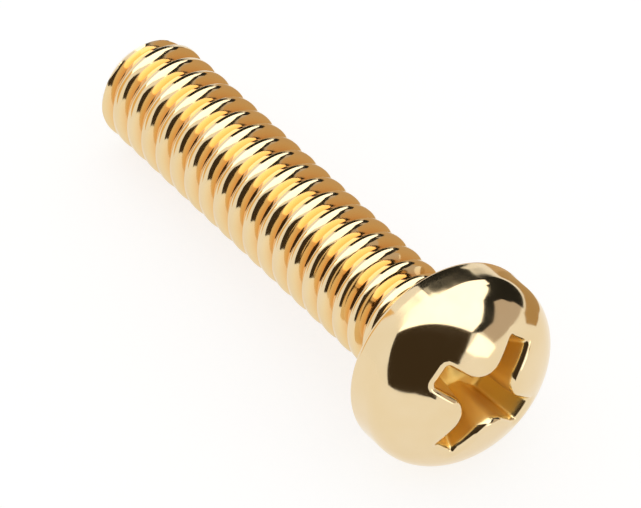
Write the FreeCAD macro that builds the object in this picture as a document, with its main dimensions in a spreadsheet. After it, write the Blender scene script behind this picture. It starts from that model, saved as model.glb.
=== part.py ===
"""Round-head machine screw with a cross recess, lying on a floor as it comes to rest.

The screw is headed and rolled from one wire, so it is one solid. The shank has the outer diameter of
its thread. It is drawn upright about its own axis, with the bearing face of the head at height 0,
the head above it and the shank below, and is then laid down: the rim of the head and the end of the
shank touch the same level floor. The origin is the centre of the bearing face, +X runs from the head
to the tip and +Z is up.
"""
import FreeCAD, Part
import Sketcher
import math
import os

from FreeCAD import Placement, Rotation, Vector

NODE = "screw"
Z_AXIS = Vector(0, 0, 1)

# Driving sizes in millimetres and degrees, one alias each
SIZES = {
    "shank_length": 15.875,
    "thread_diameter": 3.505,
    "tip_chamfer": 0.45,
    "tip_diameter": 2.65,
    "cup_diameter": 1.9,
    "cup_depth": 0.09,
    "neck_radius": 0.16,
    "head_diameter": 6.35,
    "head_height": 2.75,
    "side_height": 0.95,
    "edge_radius": 0.22,
    "recess_span": 4.0,
    "recess_taper": 26.5,
    "recess_depth": 1.9,
    "wing_width": 0.78,
    "corner_radius": 0.85,
    "floor_wing_width": 0.6,
    "floor_corner_radius": 0.4,
    "point_diameter": 1.1,
    "point_depth": 0.3,
    "recess_turn": 44.2,
}

# Clearance that a cutting tool runs past the surface that it leaves
CUTTER_CLEARANCE = 0.05


def fill_sheet(doc):
    sheet = doc.addObject("Spreadsheet::Sheet", "Sizes")
    for row, (alias, value) in enumerate(SIZES.items(), start=1):
        sheet.set(f"A{row}", alias)
        sheet.set(f"B{row}", str(value))
        sheet.setAlias(f"B{row}", alias)
    doc.recompute()
    return sheet


def origin_plane(body, role):
    return next(item for item in body.Origin.OriginFeatures if item.Role == role)


def new_sketch(body, name, role):
    sketch = body.newObject("Sketcher::SketchObject", name)
    sketch.AttachmentSupport = [(origin_plane(body, role), "")]
    sketch.MapMode = "FlatFace"
    return sketch


def bind(sketch, name, expression, *constraint):
    """Add a dimension to a sketch, name it and tie it to the sheet."""
    index = sketch.addConstraint(Sketcher.Constraint(*constraint))
    sketch.renameConstraint(index, name)
    sketch.setExpression(f"Constraints.{name}", expression)


def relate(sketch, *constraint):
    sketch.addConstraint(Sketcher.Constraint(*constraint))


def line(sketch, start, end):
    return sketch.addGeometry(Part.LineSegment(Vector(*start), Vector(*end)))


def arc(sketch, centre, radius, start_deg, end_deg):
    circle = Part.Circle(Vector(*centre), Z_AXIS, radius)
    part = Part.ArcOfCircle(circle, math.radians(start_deg), math.radians(end_deg))
    return sketch.addGeometry(part)


# Sketcher's names for the ends of a piece of geometry, and for the two axes
START, END, CENTRE = 1, 2, 3
ACROSS, UPRIGHT = -1, -2


def draw_outline(sketch):
    """Half section of head and shank: x is the radius, y the height over the bearing face."""
    s = SIZES
    shank = s["thread_diameter"] / 2
    head = s["head_diameter"] / 2
    tip = s["tip_diameter"] / 2
    cup = s["cup_diameter"] / 2
    end = -s["shank_length"]
    edge = s["edge_radius"]
    neck = s["neck_radius"]
    side = s["side_height"]

    axis = line(sketch, (0, end + s["cup_depth"]), (0, s["head_height"]))
    crown_ellipse = Part.Ellipse(Vector(0, side, 0), head, s["head_height"] - side)
    crown = sketch.addGeometry(Part.ArcOfEllipse(crown_ellipse, 0, math.pi / 2))
    across = line(sketch, (-head, side), (head, side))
    sketch.toggleConstruction(across)
    wall = line(sketch, (head, side), (head, edge))
    rounding = arc(sketch, (head - edge, edge), edge, -90, 0)
    bearing = line(sketch, (head - edge, 0), (shank + neck, 0))
    fillet = arc(sketch, (shank + neck, -neck), neck, 90, 180)
    shaft = line(sketch, (shank, -neck), (shank, end + s["tip_chamfer"]))
    chamfer = line(sketch, (shank, end + s["tip_chamfer"]), (tip, end))
    land = line(sketch, (tip, end), (cup, end))
    hollow = line(sketch, (cup, end), (0, end + s["cup_depth"]))

    relate(sketch, "InternalAlignment:EllipseMajorDiameter", across, crown)
    relate(sketch, "Horizontal", across)
    relate(sketch, "PointOnObject", crown, CENTRE, UPRIGHT)
    relate(sketch, "Coincident", axis, END, crown, END)
    relate(sketch, "Coincident", crown, START, wall, START)
    relate(sketch, "Horizontal", crown, CENTRE, wall, START)
    relate(sketch, "Tangent", wall, END, rounding, END)
    relate(sketch, "Tangent", rounding, START, bearing, START)
    relate(sketch, "Tangent", bearing, END, fillet, START)
    relate(sketch, "Tangent", fillet, END, shaft, START)
    relate(sketch, "Coincident", shaft, END, chamfer, START)
    relate(sketch, "Coincident", chamfer, END, land, START)
    relate(sketch, "Coincident", land, END, hollow, START)
    relate(sketch, "Coincident", hollow, END, axis, START)
    relate(sketch, "PointOnObject", axis, START, UPRIGHT)
    relate(sketch, "PointOnObject", axis, END, UPRIGHT)
    relate(sketch, "PointOnObject", bearing, START, ACROSS)
    for upright in (wall, shaft):
        relate(sketch, "Vertical", upright)
    for level in (bearing, land):
        relate(sketch, "Horizontal", level)

    origin = (ACROSS, START)
    bind(sketch, "head_height", "Sizes.head_height", "DistanceY", *origin, axis, END, s["head_height"])
    bind(sketch, "side_height", "Sizes.side_height", "DistanceY", *origin, wall, START, side)
    bind(sketch, "head_radius", "Sizes.head_diameter / 2", "DistanceX", *origin, wall, START, head)
    bind(sketch, "edge_radius", "Sizes.edge_radius", "Radius", rounding, edge)
    bind(sketch, "neck_radius", "Sizes.neck_radius", "Radius", fillet, neck)
    bind(sketch, "shank_radius", "Sizes.thread_diameter / 2", "DistanceX", *origin, shaft, END, shank)
    bind(sketch, "shank_length", "Sizes.shank_length", "DistanceY", chamfer, END, *origin, -end)
    bind(sketch, "tip_chamfer", "Sizes.tip_chamfer", "DistanceY", chamfer, END, chamfer, START,
         s["tip_chamfer"])
    bind(sketch, "tip_radius", "Sizes.tip_diameter / 2", "DistanceX", *origin, chamfer, END, tip)
    bind(sketch, "cup_radius", "Sizes.cup_diameter / 2", "DistanceX", *origin, land, END, cup)
    bind(sketch, "cup_depth", "Sizes.cup_depth", "DistanceY", hollow, START, hollow, END,
         s["cup_depth"])


def draw_cross(sketch, reach, width, corner):
    """Outline of the cross: four blunt wings joined by round inner corners.

    Each argument is a pair: the expression that ties the size to the sheet, and its value.
    """
    tips, flanks_in, flanks_out, corners = [], [], [], []
    half = width[1] / 2
    bend = half + corner[1]
    for quarter in range(4):
        turn = Rotation(Z_AXIS, 90 * quarter)
        tip_low = turn.multVec(Vector(reach[1], -half, 0))
        tip_high = turn.multVec(Vector(reach[1], half, 0))
        bend_in = turn.multVec(Vector(bend, half, 0))
        bend_out = turn.multVec(Vector(half, bend, 0))
        next_tip = turn.multVec(Vector(half, reach[1], 0))
        tips.append(line(sketch, tip_low, tip_high))
        flanks_in.append(line(sketch, tip_high, bend_in))
        centre = turn.multVec(Vector(bend, bend, 0))
        corners.append(arc(sketch, centre, corner[1], 180 + 90 * quarter, 270 + 90 * quarter))
        flanks_out.append(line(sketch, bend_out, next_tip))
    for quarter in range(4):
        following = (quarter + 1) % 4
        relate(sketch, "Coincident", tips[quarter], END, flanks_in[quarter], START)
        relate(sketch, "Tangent", flanks_in[quarter], END, corners[quarter], END)
        relate(sketch, "Tangent", corners[quarter], START, flanks_out[quarter], START)
        relate(sketch, "Coincident", flanks_out[quarter], END, tips[following], START)
        lies_across = quarter % 2 == 0
        relate(sketch, "Horizontal" if lies_across else "Vertical", flanks_in[quarter])
        relate(sketch, "Vertical" if lies_across else "Horizontal", flanks_out[quarter])
        middle = ACROSS if lies_across else UPRIGHT
        relate(sketch, "Symmetric", tips[quarter], START, tips[quarter], END, middle)
    for quarter in range(1, 4):
        relate(sketch, "Equal", tips[0], tips[quarter])
        relate(sketch, "Equal", corners[0], corners[quarter])

    origin = (ACROSS, START)
    bind(sketch, "wing_width", width[0], "DistanceY", tips[0], START, tips[0], END, width[1])
    bind(sketch, "corner_radius", corner[0], "Radius", corners[0], corner[1])
    bind(sketch, "reach_right", reach[0], "DistanceX", *origin, tips[0], END, reach[1])
    bind(sketch, "reach_up", reach[0], "DistanceY", *origin, tips[1], END, reach[1])
    bind(sketch, "reach_left", reach[0], "DistanceX", tips[2], END, *origin, reach[1])
    bind(sketch, "reach_down", reach[0], "DistanceY", tips[3], END, *origin, reach[1])


def cross_section(body, name, height, reach, width, corner):
    """A cross outline at a height over the bearing face, turned to the recess's place."""
    sketch = new_sketch(body, name, "XY_Plane")
    sketch.AttachmentOffset = Placement(Vector(0, 0, height[1]), Rotation(Z_AXIS, SIZES["recess_turn"]))
    sketch.setExpression("AttachmentOffset.Base.z", height[0])
    sketch.setExpression("AttachmentOffset.Rotation.Angle", "Sizes.recess_turn * 1 deg")
    draw_cross(sketch, reach, width, corner)
    return sketch


def draw_point(sketch):
    """Half section of the conical point below the floor of the recess."""
    s = SIZES
    floor = s["head_height"] - s["recess_depth"]
    radius = s["point_diameter"] / 2
    low = floor - s["point_depth"]
    axis = line(sketch, (0, low), (0, floor))
    lid = line(sketch, (0, floor), (radius, floor))
    cone = line(sketch, (radius, floor), (0, low))
    relate(sketch, "Coincident", axis, END, lid, START)
    relate(sketch, "Coincident", lid, END, cone, START)
    relate(sketch, "Coincident", cone, END, axis, START)
    relate(sketch, "PointOnObject", axis, END, UPRIGHT)
    relate(sketch, "Vertical", axis)
    relate(sketch, "Horizontal", lid)
    origin = (ACROSS, START)
    bind(sketch, "floor_level", "Sizes.head_height - Sizes.recess_depth",
         "DistanceY", *origin, lid, START, floor)
    bind(sketch, "point_radius", "Sizes.point_diameter / 2", "DistanceX", lid, START, lid, END, radius)
    bind(sketch, "point_depth", "Sizes.point_depth", "DistanceY", axis, START, axis, END, s["point_depth"])


def upright_axis(body):
    return (origin_plane(body, "Z_Axis"), [""])


def add_blank(body):
    """The headed blank before rolling: crown, rim, neck, shank and tip."""
    outline = new_sketch(body, "BlankOutline", "XZ_Plane")
    draw_outline(outline)
    blank = body.newObject("PartDesign::Revolution", "Blank")
    blank.Profile = outline
    blank.ReferenceAxis = upright_axis(body)
    blank.Angle = 360
    return blank


def add_recess(body):
    """Cross recess: a tapered cut between two cross outlines, and a conical point in its floor."""
    s = SIZES
    taper = math.tan(math.radians(s["recess_taper"]))
    crown = s["head_height"] - s["side_height"]
    span = s["recess_span"] / 2
    fall = crown * (1 - math.sqrt(1 - (span / (s["head_diameter"] / 2)) ** 2))
    tan_text = "tan(Sizes.recess_taper * 1 deg)"
    fall_text = ("(Sizes.head_height - Sizes.side_height)"
                 " * (1 - sqrt(1 - pow(Sizes.recess_span / Sizes.head_diameter; 2)))")

    top = (f"Sizes.head_height + {CUTTER_CLEARANCE}", s["head_height"] + CUTTER_CLEARANCE)
    reach = (f"Sizes.recess_span / 2 + ({fall_text} + {CUTTER_CLEARANCE}) * {tan_text}",
             span + (fall + CUTTER_CLEARANCE) * taper)
    mouth = cross_section(body, "RecessMouth", top, reach,
                          ("Sizes.wing_width", s["wing_width"]),
                          ("Sizes.corner_radius", s["corner_radius"]))

    level = ("Sizes.head_height - Sizes.recess_depth", s["head_height"] - s["recess_depth"])
    reach = (f"Sizes.recess_span / 2 - (Sizes.recess_depth - {fall_text}) * {tan_text}",
             span - (s["recess_depth"] - fall) * taper)
    floor = cross_section(body, "RecessFloor", level, reach,
                          ("Sizes.floor_wing_width", s["floor_wing_width"]),
                          ("Sizes.floor_corner_radius", s["floor_corner_radius"]))

    recess = body.newObject("PartDesign::SubtractiveLoft", "Recess")
    recess.Profile = mouth
    recess.Sections = [(floor, [""])]
    recess.Ruled = True

    section = new_sketch(body, "PointSection", "XZ_Plane")
    draw_point(section)
    point = body.newObject("PartDesign::Groove", "RecessPoint")
    point.Profile = section
    point.ReferenceAxis = upright_axis(body)
    point.Angle = 360
    return point


def resting_turn():
    """The turn that lays the screw down on its head's rounded rim and the end of its shank.

    The floor runs from the corner where the tip's chamfer starts to the circle of the rounded rim,
    which it touches from below.
    """
    s = SIZES
    edge = s["edge_radius"]
    run = s["shank_length"] - s["tip_chamfer"] + edge
    rise = (s["head_diameter"] - s["thread_diameter"]) / 2 - edge
    tilt = math.atan2(rise, run) + math.asin(edge / math.hypot(rise, run))
    away_from_tip = Vector(-math.cos(tilt), 0, math.sin(tilt))
    down = Vector(-math.sin(tilt), 0, -math.cos(tilt))
    return Rotation(down, away_from_tip.cross(down), away_from_tip, "ZXY"), math.degrees(tilt)


def check(doc, part, blank, recess):
    for item in doc.Objects:
        if "Invalid" in item.State or "Error" in item.State:
            raise RuntimeError(f"{item.Name} did not compute: {item.State}")
    if part.Shape.isNull() or not part.Shape.isValid():
        raise RuntimeError(f"{part.Label} has no valid shape")
    if len(part.Shape.Solids) != 1:
        raise RuntimeError(f"{part.Label} has {len(part.Shape.Solids)} solids")
    if recess.Shape.Volume >= blank.Shape.Volume:
        raise RuntimeError("the recess cuts nothing")


def main():
    os.makedirs("parts", exist_ok=True)
    doc = FreeCAD.newDocument("Screw")
    fill_sheet(doc)
    body = doc.addObject("PartDesign::Body", "Screw")
    body.Label = NODE
    blank = add_blank(body)
    doc.recompute()
    recess = add_recess(body)
    doc.recompute()
    turn, tilt = resting_turn()
    body.Placement = Placement(Vector(0, 0, 0), turn)
    doc.recompute()
    check(doc, body, blank, recess)
    print(f"tilt {tilt:.3f} degrees, volume {body.Shape.Volume:.3f} mm3")
    body.Shape.exportStep(os.path.join("parts", f"{body.Label}.step"))


main()
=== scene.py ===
"""Gold-plated round-head machine screw with a cross recess, lying on a pale floor.

The screw is drawn upright about its own axis, as it is in the part: the bearing face of the head is at
height 0, the crown above it and the shank below. It is then laid down on the rim of its head and the
end of its thread. Sizes are in metres, angles in degrees.
"""
import math

import bmesh
import bpy
import numpy as np
from mathutils import Matrix, Vector


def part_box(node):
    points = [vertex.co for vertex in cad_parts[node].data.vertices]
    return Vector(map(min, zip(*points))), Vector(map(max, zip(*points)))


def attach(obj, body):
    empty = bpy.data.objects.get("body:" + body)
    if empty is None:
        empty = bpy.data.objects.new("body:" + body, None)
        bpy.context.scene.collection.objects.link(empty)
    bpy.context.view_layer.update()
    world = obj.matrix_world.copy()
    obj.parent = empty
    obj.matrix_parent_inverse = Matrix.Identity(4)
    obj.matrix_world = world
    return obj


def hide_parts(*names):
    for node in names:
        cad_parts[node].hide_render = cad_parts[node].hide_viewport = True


MM = 0.001

# Thread, number 6 with 32 turns to the inch
SHANK_LENGTH = 15.875 * MM
THREAD_RADIUS = 1.7525 * MM
PITCH = 25.4 / 32 * MM
THREAD_DEPTH = 0.38 * MM
CREST_FLAT = 0.24 * MM
FLANK_ANGLE = 30.0
CORNER_SOFTNESS = 0.16 * MM
THREAD_TOP = 0.3 * MM
RUN_OUT_START = 0.5 * MM
RUN_OUT_LENGTH = 1.1 * MM

# End of the shank
TIP_CHAMFER = 0.45 * MM
TIP_RADIUS = 1.325 * MM
CUP_RADIUS = 0.95 * MM
CUP_DEPTH = 0.09 * MM

# Head
HEAD_RADIUS = 3.175 * MM
HEAD_HEIGHT = 2.75 * MM
SIDE_HEIGHT = 0.95 * MM
EDGE_RADIUS = 0.22 * MM
NECK_RADIUS = 0.16 * MM

# Cross recess
RECESS_SPAN = 4.0 * MM
RECESS_TAPER = 26.5
RECESS_DEPTH = 1.9 * MM
RECESS_TURN = 44.2
WING_WIDTH = 0.78 * MM
CORNER_RADIUS = 0.85 * MM
FLOOR_WING_WIDTH = 0.6 * MM
FLOOR_CORNER_RADIUS = 0.4 * MM
WING_END_RADIUS = 0.1 * MM
POINT_RADIUS = 0.55 * MM
POINT_DEPTH = 0.3 * MM
CUTTER_CLEARANCE = 0.05 * MM
RIM_ROUNDING = 0.28 * MM

# Mesh density: columns round the axis and rows along one turn of the thread
COLUMNS = 160
ROWS_PER_TURN = 20

# Rings from the top of the thread, over the head and down into the recess
NECK_RINGS = 7
SEAT_RINGS = 6
EDGE_RINGS = 8
SIDE_RINGS = 4
CROWN_RINGS = 30
RIM_RINGS = 6
RECESS_RINGS = 11

# Places of the rows on a flank of the thread and of the inner rings, as shares of the way across
FLANK_ROWS = (0.28, 0.46, 0.64, 0.82)
FLOOR_INSET = 0.97
FLOOR_SHARES = (0.35, 0.7, 1.0)
POINT_SHARES = (0.75, 0.5, 0.25, 0.08)
END_SHARES = (0.15, 0.6, 0.92)
CUP_SHARES = (0.96, 0.75, 0.5, 0.25, 0.08)
CUP_CURVE = 0.8

# Points closer than these become one, and edges that bend more than this many degrees stay sharp
WELD_DISTANCE = 0.002 * MM
JOIN_DISTANCE = 0.0015 * MM
SHARP_ANGLE = 38


def resting_turn():
    """Turn from the upright drawing to the screw lying on its rim and the end of its thread."""
    run = SHANK_LENGTH - TIP_CHAMFER + EDGE_RADIUS
    rise = HEAD_RADIUS - THREAD_RADIUS - EDGE_RADIUS
    tilt = math.atan2(rise, run) + math.asin(EDGE_RADIUS / math.hypot(rise, run))
    apex = Vector((-math.cos(tilt), 0, math.sin(tilt)))
    down = Vector((-math.sin(tilt), 0, -math.cos(tilt)))
    return Matrix((down, apex.cross(down), apex)).transposed().to_4x4(), tilt


LAID_DOWN, TILT = resting_turn()


# The thread


class Formula:
    """Writes sums as Math nodes of a node tree."""

    def __init__(self, tree):
        self.tree = tree

    def put(self, socket, value):
        if isinstance(value, bpy.types.NodeSocket):
            self.tree.links.new(value, socket)
        else:
            socket.default_value = value

    def node(self, kind, **inputs):
        made = self.tree.nodes.new(kind)
        for name, value in inputs.items():
            self.put(made.inputs[name.replace("_", " ")], value)
        return made

    def __call__(self, operation, *values):
        made = self.tree.nodes.new("ShaderNodeMath")
        made.operation = operation
        for socket, value in zip(made.inputs, values):
            self.put(socket, value)
        return made.outputs[0]


def thread_tree():
    """Node tree that winds a grid into the threaded part of a shank, upright, below the head.

    The rows of the grid are lines of the helix and its columns run along the shank, so the edges of
    the thread fall on edges of the mesh.
    """
    tree = bpy.data.node_groups.new("rolled_thread", "GeometryNodeTree")
    sizes = {
        "Length": SHANK_LENGTH,
        "Radius": THREAD_RADIUS,
        "Pitch": PITCH,
        "Depth": THREAD_DEPTH,
        "Crest Flat": CREST_FLAT,
        "Flank Slope": 1 / math.tan(math.radians(FLANK_ANGLE)),
        "Softness": CORNER_SOFTNESS,
        "Top": THREAD_TOP,
        "Run-out Start": RUN_OUT_START,
        "Run-out Length": RUN_OUT_LENGTH,
        "Chamfer": TIP_CHAMFER,
        "Tip Radius": TIP_RADIUS,
    }
    counts = {"Columns": COLUMNS, "Rows per Turn": ROWS_PER_TURN}
    face = tree.interface
    for name in sizes:
        face.new_socket(name, in_out="INPUT", socket_type="NodeSocketFloat")
    for name in counts:
        face.new_socket(name, in_out="INPUT", socket_type="NodeSocketInt")
    face.new_socket("Material", in_out="INPUT", socket_type="NodeSocketMaterial")
    face.new_socket("Geometry", in_out="OUTPUT", socket_type="NodeSocketGeometry")
    given = tree.nodes.new("NodeGroupInput").outputs
    result = tree.nodes.new("NodeGroupOutput").inputs["Geometry"]
    f = Formula(tree)

    # Grid, one unit between rows and between columns
    pitch = given["Pitch"]
    turns = f("CEIL", f("ADD", f("DIVIDE", given["Length"], pitch), 2.0))
    row_count = f("MULTIPLY", turns, given["Rows per Turn"])
    grid = f.node(
        "GeometryNodeMeshGrid",
        Size_X=row_count,
        Size_Y=given["Columns"],
        Vertices_X=f("ADD", row_count, 1.0),
        Vertices_Y=f("ADD", given["Columns"], 1.0),
    )
    position = tree.nodes.new("GeometryNodeInputPosition").outputs[0]
    place = f.node("ShaderNodeSeparateXYZ", Vector=position)
    row = f("ROUND", f("ADD", place.outputs["X"], f("DIVIDE", row_count, 2.0)))
    column = f("ROUND", f("ADD", place.outputs["Y"], f("DIVIDE", given["Columns"], 2.0)))
    share_of_turn = f("DIVIDE", column, given["Columns"])

    # Rows stand closer together at the corners of the thread's section
    turn_number = f("FLOOR", f("DIVIDE", row, given["Rows per Turn"]))
    within = f("DIVIDE", f("FLOORED_MODULO", row, given["Rows per Turn"]), given["Rows per Turn"])
    spacing = tree.nodes.new("ShaderNodeFloatCurve")
    f.put(spacing.inputs["Value"], within)
    curve = spacing.mapping.curves[0]
    half = CREST_FLAT / PITCH / 2
    flank_end = half + THREAD_DEPTH * math.tan(math.radians(FLANK_ANGLE)) / PITCH
    soft = CORNER_SOFTNESS / PITCH
    marks = [0.0, half - 0.3 * soft, half, half + 0.3 * soft]
    marks += [half + (flank_end - half) * share for share in FLANK_ROWS]
    marks += [flank_end - 0.25 * soft, flank_end + 0.15 * soft, 0.5]
    marks += [1 - mark for mark in reversed(marks[1:-1])]
    for index, mark in enumerate(marks):
        at = index / len(marks)
        point = curve.points[0] if index == 0 else curve.points.new(at, mark)
        point.location = (at, mark)
    curve.points[-1].location = (1.0, 1.0)
    for point in curve.points:
        point.handle_type = "VECTOR"
    spacing.mapping.update()

    # A crest ends on the floor side where the chamfer starts
    chamfer_start = f("SUBTRACT", given["Length"], given["Chamfer"])
    crest_end = f("SUBTRACT", chamfer_start, f("MULTIPLY", given["Crest Flat"], 0.5))
    first_crest = f("SUBTRACT", crest_end, f("MULTIPLY", f("SUBTRACT", turns, 1.0), pitch))
    turned = f("ADD", f("ADD", turn_number, spacing.outputs[0]), share_of_turn)
    along = f("ADD", first_crest, f("MULTIPLY", turned, pitch))
    depth_down = f("MINIMUM", f("MAXIMUM", along, given["Top"]), given["Length"])

    # Section of the thread at that place
    phase = f("SUBTRACT", f("DIVIDE", f("SUBTRACT", depth_down, first_crest), pitch), share_of_turn)
    off_crest = f("MULTIPLY", f("PINGPONG", f("FRACT", phase), 0.5), pitch)
    off_edge = f("SUBTRACT", off_crest, f("MULTIPLY", given["Crest Flat"], 0.5))
    sunk = f("MULTIPLY", off_edge, given["Flank Slope"])
    sunk = f("SMOOTH_MAX", sunk, 0.0, given["Softness"])
    sunk = f("SMOOTH_MIN", sunk, given["Depth"], given["Softness"])
    faded = f.node("ShaderNodeMapRange")
    faded.interpolation_type = "SMOOTHSTEP"
    f.put(faded.inputs["Value"], depth_down)
    f.put(faded.inputs["From Min"], given["Run-out Start"])
    f.put(faded.inputs["From Max"], f("ADD", given["Run-out Start"], given["Run-out Length"]))
    sunk = f("MULTIPLY", sunk, faded.outputs["Result"])
    radius = f("SUBTRACT", given["Radius"], sunk)
    cone_slope = f("DIVIDE", f("SUBTRACT", given["Radius"], given["Tip Radius"]), given["Chamfer"])
    cone = f("MULTIPLY", f("SUBTRACT", depth_down, chamfer_start), cone_slope)
    radius = f("MINIMUM", radius, f("SUBTRACT", given["Radius"], cone))
    radius = f("MINIMUM", radius, given["Radius"])

    # A right-hand thread goes down as it turns clockwise, seen from the head
    angle = f("MULTIPLY", share_of_turn, -2 * math.pi)
    wound = f.node(
        "ShaderNodeCombineXYZ",
        X=f("MULTIPLY", radius, f("COSINE", angle)),
        Y=f("MULTIPLY", radius, f("SINE", angle)),
        Z=f("MULTIPLY", depth_down, -1.0),
    )
    moved = f.node("GeometryNodeSetPosition", Geometry=grid.outputs["Mesh"], Position=wound.outputs[0])
    closed = f.node("GeometryNodeMergeByDistance", Geometry=moved.outputs[0], Distance=WELD_DISTANCE)
    plain = f.node("GeometryNodeRealizeInstances", Geometry=closed.outputs[0])
    plated = f.node("GeometryNodeSetMaterial", Geometry=plain.outputs[0], Material=given["Material"])
    tree.links.new(plated.outputs[0], result)
    return tree, {**sizes, **counts}


def wind_thread(finish):
    """Threaded part of the shank as a plain mesh, upright."""
    tree, values = thread_tree()
    carrier = bpy.data.objects.new("thread", bpy.data.meshes.new("thread"))
    bpy.context.scene.collection.objects.link(carrier)
    modifier = carrier.modifiers.new("rolled_thread", "NODES")
    modifier.node_group = tree
    for item in tree.interface.items_tree:
        if item.in_out == "INPUT":
            value = finish if item.name == "Material" else values[item.name]
            modifier[item.identifier] = value
    bpy.context.view_layer.update()
    evaluated = carrier.evaluated_get(bpy.context.evaluated_depsgraph_get())
    mesh = bpy.data.meshes.new_from_object(evaluated)
    bpy.data.objects.remove(carrier)
    return mesh


# The head and the end of the shank

HALVINGS = 40


def column_angles():
    return -2 * math.pi * np.arange(COLUMNS) / COLUMNS


def ring(reach, angle, height):
    """One point per column; reach, angle and height are single values or one for each column."""
    heights = np.broadcast_to(height, COLUMNS)
    return np.stack([reach * np.cos(angle), reach * np.sin(angle), heights], axis=1)


def circle(radius, height):
    return ring(radius, column_angles(), height)


def arc_points(centre, radius, start, end, count):
    """Points of an arc with both its ends, angles in degrees."""
    angle = np.radians(np.linspace(start, end, count))
    return np.stack([centre[0] + radius * np.cos(angle), centre[1] + radius * np.sin(angle)], axis=1)


def cross_outline(reach, width, corner):
    """The recess's outline, clockwise from the middle of the wing along +X, one point per column.

    The points of its four quarters add up to COLUMNS.
    """
    half = width / 2
    bend = half + corner
    end = WING_END_RADIUS
    lower_tip = np.stack([np.full(3, reach), np.linspace(0, half - end, 4)[:-1]], axis=1)
    tip_corner = arc_points((reach - end, half - end), end, 0, 90, 4)
    flank = np.stack([np.linspace(reach - end, bend, 7)[1:-1], np.full(5, half)], axis=1)
    hollow = arc_points((bend, bend), corner, 270, 180, 17)
    first_half = np.concatenate([lower_tip, tip_corner, flank, hollow[:8]])
    quarter = np.concatenate([first_half, hollow[8:9], first_half[:0:-1, ::-1]])
    parts = []
    for turn in range(4):
        c, s = math.cos(turn * math.pi / 2), math.sin(turn * math.pi / 2)
        parts.append(quarter @ np.array([[c, s], [-s, c]]))
    outline = np.concatenate(parts)
    return np.roll(outline[::-1], 1, axis=0)


def turned_to_recess(outline):
    """Turn the outline to the recess's place, and start it at the column that lies nearest to it."""
    angle = math.radians(RECESS_TURN)
    c, s = math.cos(angle), math.sin(angle)
    turned = outline @ np.array([[c, s], [-s, c]])
    return np.roll(turned, -round(RECESS_TURN / 360 * COLUMNS), axis=0)


def crown_height(radius):
    share = np.clip(radius / HEAD_RADIUS, 0, 1)
    return SIDE_HEIGHT + (HEAD_HEIGHT - SIDE_HEIGHT) * np.sqrt(1 - share**2)


def recess_sections():
    """The cross above the crown and the cross on the recess's floor, as the part's cut has them."""
    taper = math.tan(math.radians(RECESS_TAPER))
    fall = HEAD_HEIGHT - crown_height(RECESS_SPAN / 2)
    mouth_reach = RECESS_SPAN / 2 + (fall + CUTTER_CLEARANCE) * taper
    floor_reach = RECESS_SPAN / 2 - (RECESS_DEPTH - fall) * taper
    mouth = turned_to_recess(cross_outline(mouth_reach, WING_WIDTH, CORNER_RADIUS))
    floor = turned_to_recess(cross_outline(floor_reach, FLOOR_WING_WIDTH, FLOOR_CORNER_RADIUS))
    mouth = np.column_stack([mouth, np.full(COLUMNS, HEAD_HEIGHT + CUTTER_CLEARANCE)])
    floor = np.column_stack([floor, np.full(COLUMNS, HEAD_HEIGHT - RECESS_DEPTH)])
    return mouth, floor


def meet_crown(mouth, floor):
    """Share of the way from mouth to floor at which each flank line meets the crown."""
    low, high = np.zeros(COLUMNS), np.ones(COLUMNS)
    for _ in range(HALVINGS):
        middle = (low + high) / 2
        point = mouth + (floor - mouth) * middle[:, None]
        above = point[:, 2] > crown_height(np.hypot(point[:, 0], point[:, 1]))
        low, high = np.where(above, middle, low), np.where(above, high, middle)
    return (low + high) / 2


def outward(outline):
    """Unit directions in the plane, square to a closed outline and away from its middle."""
    along = np.roll(outline, -1, axis=0) - np.roll(outline, 1, axis=0)
    square = np.stack([-along[:, 1], along[:, 0]], axis=1)
    return square / np.linalg.norm(square, axis=1, keepdims=True)


def crown_rings(rim):
    """Rings on the crown from the circle of the side to the outline rim, both left out."""
    radius = np.hypot(rim[:, 0], rim[:, 1])
    rise = np.arccos(radius / HEAD_RADIUS)
    base = column_angles()
    swing = np.arctan2(rim[:, 1], rim[:, 0]) - base
    swing = (swing + math.pi) % (2 * math.pi) - math.pi
    rings = []
    for step in range(1, CROWN_RINGS):
        share = step / CROWN_RINGS
        reach = HEAD_RADIUS * np.cos(rise * share)
        angle = base + swing * share * share * (3 - 2 * share)
        rings.append(ring(reach, angle, crown_height(reach)))
    return rings


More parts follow.
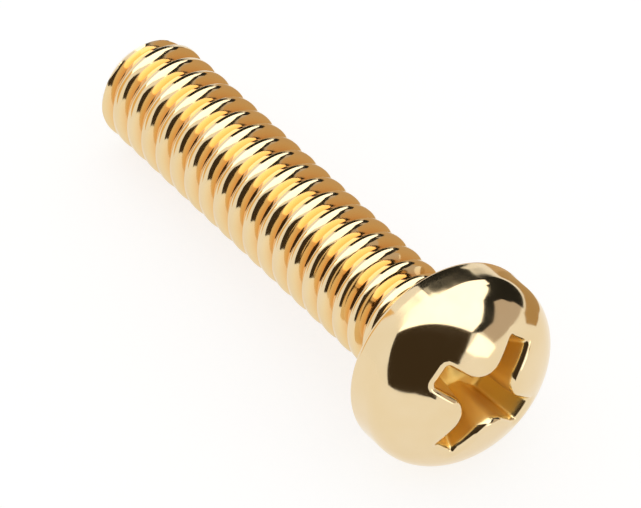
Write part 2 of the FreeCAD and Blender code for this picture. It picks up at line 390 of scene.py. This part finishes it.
def head_rings():
    """Rings from the top of the thread, under the head, over its rim and crown and into the recess."""
    inner, outer = THREAD_RADIUS + NECK_RADIUS, HEAD_RADIUS - EDGE_RADIUS
    neck = arc_points((inner, -NECK_RADIUS), NECK_RADIUS, 180, 90, NECK_RINGS)
    lower_edge = arc_points((outer, EDGE_RADIUS), EDGE_RADIUS, -90, 0, EDGE_RINGS)
    rings = [circle(THREAD_RADIUS, -THREAD_TOP)]
    rings += [circle(r, z) for r, z in neck]
    rings += [circle(r, 0) for r in np.linspace(inner, outer, SEAT_RINGS)[1:-1]]
    rings += [circle(r, z) for r, z in lower_edge]
    rings += [circle(HEAD_RADIUS, z) for z in np.linspace(EDGE_RADIUS, SIDE_HEIGHT, SIDE_RINGS)[1:]]

    mouth, floor = recess_sections()
    meeting = meet_crown(mouth, floor)[:, None]
    edge = mouth + (floor - mouth) * meeting
    flank = (floor - edge) / np.linalg.norm(floor - edge, axis=1, keepdims=True)
    outer_rim = edge[:, :2] + outward(edge[:, :2]) * RIM_ROUNDING
    outer_rim = np.column_stack([outer_rim, crown_height(np.hypot(*outer_rim.T))])
    inner_rim = edge + flank * RIM_ROUNDING
    rings += crown_rings(outer_rim)
    for share in np.linspace(0, 1, RIM_RINGS):
        softened = (1 - share) ** 2 * outer_rim + 2 * share * (1 - share) * edge + share**2 * inner_rim
        rings.append(softened)
    for share in (*np.linspace(0, 1, RECESS_RINGS)[1:-1], FLOOR_INSET):
        rings.append(inner_rim + (floor - inner_rim) * share)

    # Floor of the recess, its conical point and the middle
    flat = floor * [FLOOR_INSET, FLOOR_INSET, 1.0]
    rings.append(flat)
    radius = np.hypot(flat[:, 0], flat[:, 1])
    angle = np.arctan2(flat[:, 1], flat[:, 0])
    lip = np.minimum(radius, POINT_RADIUS)
    low = HEAD_HEIGHT - RECESS_DEPTH
    for share in FLOOR_SHARES:
        rings.append(ring(radius + (lip - radius) * share, angle, low))
    for share in POINT_SHARES:
        rings.append(ring(lip * share, angle, low - POINT_DEPTH * (1 - share)))
    return rings, np.array([0, 0, low - POINT_DEPTH])


def add_rings(shape, rings, pole):
    """Skin rings of one point per column, and close the last one on a pole."""
    made = [[shape.verts.new(point) for point in points] for points in rings]
    for lower, upper in zip(made, made[1:]):
        for column in range(COLUMNS):
            following = (column + 1) % COLUMNS
            shape.faces.new((lower[column], lower[following], upper[following], upper[column]))
    middle = shape.verts.new(pole)
    last = made[-1]
    for column in range(COLUMNS):
        shape.faces.new((last[column], last[(column + 1) % COLUMNS], middle))


def close_tip(shape):
    """Flat ring and shallow cup that close the end of the shank, from the thread's own last edge."""
    border = [edge for edge in shape.edges if edge.is_boundary]
    last = {vert for edge in border for vert in edge.verts if vert.co.z < -SHANK_LENGTH / 2}
    ordered = sorted(last, key=lambda vert: -math.atan2(vert.co.y, vert.co.x) % (2 * math.pi))
    edge_points = np.array([vert.co for vert in ordered])
    if len(edge_points) != COLUMNS:
        raise RuntimeError(f"the end of the thread has {len(edge_points)} points, not {COLUMNS}")
    angle = np.arctan2(edge_points[:, 1], edge_points[:, 0])
    outer = np.hypot(edge_points[:, 0], edge_points[:, 1])
    rings = [edge_points]
    for share in END_SHARES:
        rings.append(ring(outer + (CUP_RADIUS - outer) * share, angle, -SHANK_LENGTH))
    for share in CUP_SHARES:
        rise = CUP_DEPTH * (1 - share) ** CUP_CURVE
        rings.append(ring(CUP_RADIUS * share, angle, -SHANK_LENGTH + rise))
    add_rings(shape, rings, np.array([0, 0, -SHANK_LENGTH + CUP_DEPTH]))


def make_screw(finish):
    """The whole screw as one closed mesh, laid down in the row frame."""
    mesh = wind_thread(finish)
    shape = bmesh.new()
    shape.from_mesh(mesh)
    close_tip(shape)
    rings, pole = head_rings()
    add_rings(shape, rings, pole)
    bmesh.ops.remove_doubles(shape, verts=shape.verts[:], dist=JOIN_DISTANCE)
    bmesh.ops.recalc_face_normals(shape, faces=shape.faces[:])
    # Mask for the painted shade in the recess and the thread's grooves
    mark_painted_shade(shape)
    open_edges = sum(not edge.is_manifold for edge in shape.edges)
    if open_edges:
        raise RuntimeError(f"the screw has {open_edges} open edges")
    shape.transform(LAID_DOWN)
    shape.to_mesh(mesh)
    shape.free()
    mesh.name = "gold_screw"
    mesh.materials.clear()
    mesh.materials.append(finish)
    mesh.shade_smooth()
    mesh.set_sharp_from_angle(angle=math.radians(SHARP_ANGLE))
    screw = bpy.data.objects.new("gold_screw", mesh)
    bpy.context.scene.collection.objects.link(screw)
    return screw


# The finish

PLATE_COLOUR = (0.82, 0.655, 0.41)
PLATE_SHADE = (0.80, 0.62, 0.36)
# Colours of the painted shade in the recess and in the thread's grooves, orange as if lit by light
# bounced off gold
RECESS_PAINTED_SHADE = (1.0, 0.72, 0.24)
GROOVE_PAINTED_SHADE = (0.78, 0.37, 0.13)
POLISHED_ROUGHNESS = 0.07
DULLEST_ROUGHNESS = 0.12
SHELTERED_ROUGHNESS = 0.5

# Patterns of the finish: noise scales for lengths in metres, the span of noise used, bump sizes
TINT_SCALE = 700
TINT_SPAN = (0.35, 0.75)
GLOSS_SCALE = 2400
GLOSS_SPAN = (0.3, 0.8)
WAVE_SCALE = 900
WAVE_STRENGTH = 0.15
WAVE_HEIGHT = 0.004 * MM
MARK_SCALE = 9000
MARK_STRENGTH = 0.08
MARK_HEIGHT = 0.0008 * MM
MARK_STRETCH = 0.06

# Depth below the crown at which the painted shade in the recess starts, and the depth over which it
# grows
RIM_SHADE_DEPTH = 0.12 * MM
RECESS_SHADE_DEPTH = 0.2 * MM
RECESS_REACH = 0.9 * HEAD_RADIUS


def mark_painted_shade(shape):
    """Store how far each point lies in the recess or in the thread's groove, as the mask of the painted
    shade.
    """
    painted_shade_mask = shape.verts.layers.float.new("painted_shade_mask")
    groove = shape.verts.layers.float.new("groove")
    for vert in shape.verts:
        radius = math.hypot(vert.co.x, vert.co.y)
        if vert.co.z > SIDE_HEIGHT / 2 and radius < RECESS_REACH:
            sunk = (float(crown_height(radius)) - vert.co.z - RIM_SHADE_DEPTH) / RECESS_SHADE_DEPTH
            vert[painted_shade_mask] = min(max(sunk, 0.0), 1.0)
        elif -SHANK_LENGTH + TIP_CHAMFER < vert.co.z < -NECK_RADIUS:
            sunk = (THREAD_RADIUS - radius) / THREAD_DEPTH
            vert[painted_shade_mask] = min(max(sunk, 0.0), 1.0)
            vert[groove] = vert[painted_shade_mask]


def gold_plating():
    """Bright polished gold with the faint waviness of headed and rolled wire, and painted shade in its
    hollows.
    """
    material = bpy.data.materials.new("gold_plating")
    material.use_nodes = True
    tree = material.node_tree
    tree.nodes.clear()
    f = Formula(tree)
    out = tree.nodes.new("ShaderNodeOutputMaterial")
    shader = tree.nodes.new("ShaderNodeBsdfPrincipled")
    tree.links.new(shader.outputs["BSDF"], out.inputs["Surface"])
    shader.inputs["Metallic"].default_value = 1.0
    place = tree.nodes.new("ShaderNodeTexCoord").outputs["Object"]

    # Coordinates with X along the screw's axis, so that marks can run round it
    along = tree.nodes.new("ShaderNodeMapping")
    along.inputs["Rotation"].default_value = (0, -TILT, 0)
    tree.links.new(place, along.inputs["Vector"])
    axial = tree.nodes.new("ShaderNodeMapping")
    axial.inputs["Scale"].default_value = (1.0, MARK_STRETCH, MARK_STRETCH)
    tree.links.new(along.outputs[0], axial.inputs["Vector"])

    def noise(vector, scale, detail, roughness=0.5):
        made = tree.nodes.new("ShaderNodeTexNoise")
        made.inputs["Scale"].default_value = scale
        made.inputs["Detail"].default_value = detail
        made.inputs["Roughness"].default_value = roughness
        tree.links.new(vector, made.inputs["Vector"])
        return made.outputs["Fac"]

    # Tint
    tint = tree.nodes.new("ShaderNodeMix")
    tint.data_type = "RGBA"
    tint.inputs["A"].default_value = (*PLATE_COLOUR, 1)
    tint.inputs["B"].default_value = (*PLATE_SHADE, 1)
    cloud = f.node("ShaderNodeMapRange", From_Min=TINT_SPAN[0], From_Max=TINT_SPAN[1])
    tree.links.new(noise(place, TINT_SCALE, 3), cloud.inputs["Value"])
    tree.links.new(cloud.outputs["Result"], tint.inputs["Factor"])

    # Painted shade in the recess and the groove: deeper orange stands for shade there and for light
    # bounced off gold
    painted_shade_mask = tree.nodes.new("ShaderNodeAttribute")
    painted_shade_mask.attribute_name = "painted_shade_mask"
    groove = tree.nodes.new("ShaderNodeAttribute")
    groove.attribute_name = "groove"
    painted_shade_colour = tree.nodes.new("ShaderNodeMix")
    painted_shade_colour.data_type = "RGBA"
    painted_shade_colour.inputs["A"].default_value = (*RECESS_PAINTED_SHADE, 1)
    painted_shade_colour.inputs["B"].default_value = (*GROOVE_PAINTED_SHADE, 1)
    tree.links.new(groove.outputs["Fac"], painted_shade_colour.inputs["Factor"])
    colour = tree.nodes.new("ShaderNodeMix")
    colour.data_type = "RGBA"
    tree.links.new(tint.outputs["Result"], colour.inputs["A"])
    tree.links.new(painted_shade_colour.outputs["Result"], colour.inputs["B"])
    tree.links.new(painted_shade_mask.outputs["Fac"], colour.inputs["Factor"])
    tree.links.new(colour.outputs["Result"], shader.inputs["Base Color"])

    # Roughness
    gloss = f.node("ShaderNodeMapRange", From_Min=GLOSS_SPAN[0], From_Max=GLOSS_SPAN[1])
    gloss.inputs["To Min"].default_value = POLISHED_ROUGHNESS
    gloss.inputs["To Max"].default_value = DULLEST_ROUGHNESS
    tree.links.new(noise(place, GLOSS_SCALE, 6, 0.6), gloss.inputs["Value"])
    duller = f.node("ShaderNodeMapRange", To_Max=SHELTERED_ROUGHNESS)
    recess_only = f("SUBTRACT", painted_shade_mask.outputs["Fac"], groove.outputs["Fac"])
    tree.links.new(recess_only, duller.inputs["Value"])
    tree.links.new(gloss.outputs["Result"], duller.inputs["To Min"])
    tree.links.new(duller.outputs["Result"], shader.inputs["Roughness"])

    # Waviness of the blank, and fine marks of the rolling dies round the axis
    wave = f.node("ShaderNodeBump", Strength=WAVE_STRENGTH, Distance=WAVE_HEIGHT)
    tree.links.new(noise(place, WAVE_SCALE, 2), wave.inputs["Height"])
    marks = f.node("ShaderNodeBump", Strength=MARK_STRENGTH, Distance=MARK_HEIGHT)
    tree.links.new(noise(axial.outputs[0], MARK_SCALE, 3), marks.inputs["Height"])
    tree.links.new(wave.outputs["Normal"], marks.inputs["Normal"])
    tree.links.new(marks.outputs["Normal"], shader.inputs["Normal"])
    return material


# The studio

FLOOR_SIZE = 3.0
FLOOR_PAPER = 0.4
FLOOR_LIFT = 0.72
ROOM_LIGHT = (0.75, 0.74, 0.72)

# Colour and brightness of the room's window and lamp and of the cards
CARD_FINISHES = {
    "window": ((1.0, 0.99, 0.97), 2.1),
    "lamp": ((1.0, 0.98, 0.95), 2.1),
    "black_card": ((0.02, 0.02, 0.018), 1.0),
    "brown_card": ((0.05, 0.035, 0.02), 1.0),
    "beige_card": ((0.58, 0.50, 0.44), 1.0),
    "warm_card": ((0.50, 0.33, 0.15), 1.0),
    "orange_card": ((0.89, 0.57, 0.22), 1.0),
    "tan_card": ((0.62, 0.42, 0.22), 1.0),
}

# Distances at which the window, the lamp and the dark and beige cards stand round the screw
WINDOW_DISTANCE = 0.62
FRAME_DISTANCE = 0.56
FAR_SIDE_DISTANCE = 0.1
TIP_SIDE_DISTANCE = 0.5
LAMP_DISTANCE = 0.54
WALL_DISTANCE = 0.72

# Their corners, as azimuth and elevation seen from the screw
WINDOW = [
    (41, 33), (5, 46), (-15, 44), (-30, 38), (-42, 26), (-53, 15),
    (-85, 33), (-115, 40), (-145, 24), (-158, 22), (180, 48), (72, 61),
]
WINDOW_FRAME = [
    (-54, 17), (-70, 27), (-90, 36), (-115, 41), (-146, 25), (-159, 22),
    (-151, 16), (-138, 16), (-112, 30), (-90, 22), (-72, 12),
]
FAR_SIDE = [
    (-6, 46), (-18, 46), (-32, 41), (-45, 29), (-56, 19), (-75, 23), (-106, 33),
    (-105, 16), (-104, -1), (-53, -1), (-49, 15), (-32, 24), (-18, 37),
]
TIP_SIDE = [(-8, 46), (-20, 43), (-28, 39), (-36, 32), (-42, 22), (-46, 9), (-46, -1), (-8, -1)]
BEIGE_WALL = [(-100, 20), (-92, 33), (-112, 36), (-139, 22), (-151, 18), (-147, -1), (-104, -1)]
LAMP = [(-154, 18), (-147, -1), (-161, -1), (-167, 9)]

# Corners of the cards that hang close to the screw or lie on the floor, in millimetres
DARK_CARD = [
    (7, 9, 9), (1, 7, 13), (-9.5, 1, 12), (-12, -4, 7), (-13, -3, 5.5),
    (-14, -1.5, 3.5), (-13.5, 3.5, -2.5), (-12, 8, -0.5), (-4.5, 14.5, 1.5), (1.5, 13.5, 6.5),
]
THREAD_SIDE_CARD = [
    (1, -6.5, 3.5), (-3, -6.5, 3.5), (-3, -6.5, 5), (-4, -6.5, 6.3), (-5, -6.5, 6.3), (-5, -6.5, 7),
    (1, -6.5, 6.5),
]
ORANGE_CARD = [(19, 20, -3), (45, 20, -3), (56, 20, 30), (32, 20, 30)]
TAN_CARD = [(1, -3.6, -0.5), (16, -3.6, -2), (16, -3.6, 1), (1, -3.6, 2.3)]
LAMP_GLINT = [(-36, -17, -3), (-60, -38, -3), (-560, -360, -3), (-590, -205, -3)]
WARM_STRIP = [
    (-13, -27, -3), (-4.7, -14, -3), (-0.8, -13.5, -3), (4, -7, -3),
    (16, -6, -3), (22, -30, -3), (0, -60, -3), (-20, -60, -3),
]


def direction(azimuth, elevation):
    a, e = math.radians(azimuth), math.radians(elevation)
    return Vector((math.cos(e) * math.cos(a), math.cos(e) * math.sin(a), math.sin(e)))


def plain_shader(name, colour, strength):
    material = bpy.data.materials.new(name)
    material.use_nodes = True
    tree = material.node_tree
    tree.nodes.clear()
    out = tree.nodes.new("ShaderNodeOutputMaterial")
    glow = tree.nodes.new("ShaderNodeEmission")
    glow.inputs["Color"].default_value = (*colour, 1)
    glow.inputs["Strength"].default_value = strength
    tree.links.new(glow.outputs[0], out.inputs["Surface"])
    return material


def far_off(corners, distance):
    return [direction(*corner) * distance for corner in corners]


def in_millimetres(corners):
    return [Vector(corner) * MM for corner in corners]


def hang_card(name, points, material):
    """A card in the studio that only shiny surfaces see."""
    mesh = bpy.data.meshes.new(name)
    mesh.from_pydata(points, [], [tuple(range(len(points)))])
    mesh.materials.append(material)
    card = bpy.data.objects.new(name, mesh)
    bpy.context.scene.collection.objects.link(card)
    card.visible_camera = False
    card.visible_diffuse = False
    card.visible_shadow = False


def seen_straight_or_mirrored(tree):
    """1 for rays from the camera, shiny surfaces and glass, 0 for the light that falls on things."""
    path = tree.nodes.new("ShaderNodeLightPath")
    f = Formula(tree)
    mirrored = f("MAXIMUM", path.outputs["Is Glossy Ray"], path.outputs["Is Transmission Ray"])
    return f("MAXIMUM", path.outputs["Is Camera Ray"], mirrored)


def lay_floor(level):
    """Pale floor that keeps the screw's shadow and reads as white paper, straight or mirrored."""
    mesh = bpy.data.meshes.new("floor")
    half = FLOOR_SIZE / 2
    corners = [(x, y, level) for x, y in ((-half, -half), (half, -half), (half, half), (-half, half))]
    mesh.from_pydata(corners, [], [(0, 1, 2, 3)])
    floor = bpy.data.objects.new("floor", mesh)
    bpy.context.scene.collection.objects.link(floor)
    material = bpy.data.materials.new("white_paper")
    material.use_nodes = True
    tree = material.node_tree
    tree.nodes.clear()
    f = Formula(tree)
    out = tree.nodes.new("ShaderNodeOutputMaterial")
    paper = f.node("ShaderNodeBsdfDiffuse", Color=(FLOOR_PAPER, FLOOR_PAPER, FLOOR_PAPER, 1))
    lift = f("MULTIPLY", seen_straight_or_mirrored(tree), FLOOR_LIFT)
    glow = f.node("ShaderNodeEmission", Color=(1, 1, 1, 1), Strength=lift)
    both = tree.nodes.new("ShaderNodeAddShader")
    tree.links.new(paper.outputs[0], both.inputs[0])
    tree.links.new(glow.outputs[0], both.inputs[1])
    tree.links.new(both.outputs[0], out.inputs["Surface"])
    mesh.materials.append(material)


def light_studio():
    """White room, a window overhead, and the dark and beige things that the metal mirrors."""
    world = bpy.data.worlds.new("studio")
    bpy.context.scene.world = world
    world.use_nodes = True
    tree = world.node_tree
    tree.nodes.clear()
    f = Formula(tree)
    out = tree.nodes.new("ShaderNodeOutputWorld")
    room = f.node("ShaderNodeBackground", Color=(*ROOM_LIGHT, 1), Strength=1.0)
    white = f.node("ShaderNodeBackground", Color=(1, 1, 1, 1), Strength=1.0)
    choose = tree.nodes.new("ShaderNodeMixShader")
    tree.links.new(seen_straight_or_mirrored(tree), choose.inputs["Fac"])
    tree.links.new(room.outputs[0], choose.inputs[1])
    tree.links.new(white.outputs[0], choose.inputs[2])
    tree.links.new(choose.outputs[0], out.inputs["Surface"])

    finish = {name: plain_shader(name, *values) for name, values in CARD_FINISHES.items()}
    hang_card("window", far_off(WINDOW, WINDOW_DISTANCE), finish["window"])
    hang_card("window_frame", far_off(WINDOW_FRAME, FRAME_DISTANCE), finish["black_card"])
    hang_card("far_side", far_off(FAR_SIDE, FAR_SIDE_DISTANCE), finish["black_card"])
    hang_card("tip_side", far_off(TIP_SIDE, TIP_SIDE_DISTANCE), finish["black_card"])
    hang_card("lamp", far_off(LAMP, LAMP_DISTANCE), finish["lamp"])
    hang_card("beige_wall", far_off(BEIGE_WALL, WALL_DISTANCE), finish["beige_card"])
    hang_card("dark_card", in_millimetres(DARK_CARD), finish["brown_card"])
    hang_card("thread_side_card", in_millimetres(THREAD_SIDE_CARD), finish["black_card"])
    hang_card("orange_card", in_millimetres(ORANGE_CARD), finish["orange_card"])
    hang_card("tan_card", in_millimetres(TAN_CARD), finish["tan_card"])
    hang_card("lamp_glint", in_millimetres(LAMP_GLINT), finish["lamp"])
    hang_card("warm_strip", in_millimetres(WARM_STRIP), finish["warm_card"])


# The camera

VIEW_FORWARD = Vector((0.5814, -0.3981, -0.7096)).normalized()
VIEW_DISTANCE = 0.194
AIM = Vector((5.6, 0.3, -0.4)) * MM
FOCAL_PIXELS = 6500
PICTURE_WIDTH = 641
SENSOR_WIDTH = 36.0


def place_camera():
    """The photograph's viewing angle, with a longer lens, because only one screw is shown."""
    data = bpy.data.cameras.new("camera")
    data.sensor_width = SENSOR_WIDTH
    data.lens = FOCAL_PIXELS / PICTURE_WIDTH * SENSOR_WIDTH
    data.clip_start = 0.01
    data.clip_end = 10
    camera = bpy.data.objects.new("camera", data)
    bpy.context.scene.collection.objects.link(camera)
    camera.location = AIM - VIEW_FORWARD * VIEW_DISTANCE
    camera.rotation_euler = VIEW_FORWARD.to_track_quat("-Z", "Y").to_euler()
    bpy.context.scene.camera = camera


# The scene

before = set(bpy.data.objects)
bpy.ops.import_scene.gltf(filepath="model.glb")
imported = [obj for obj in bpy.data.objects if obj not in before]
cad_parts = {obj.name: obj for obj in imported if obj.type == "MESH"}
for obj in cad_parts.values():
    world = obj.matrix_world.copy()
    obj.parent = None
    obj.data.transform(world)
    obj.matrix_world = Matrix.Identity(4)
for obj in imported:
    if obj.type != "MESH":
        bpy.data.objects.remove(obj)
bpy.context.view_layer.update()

screw = make_screw(gold_plating())
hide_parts("screw")
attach(screw, "root")

lay_floor(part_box("screw")[0].z)
light_studio()
place_camera()

bpy.context.scene.view_settings.view_transform = "Standard"
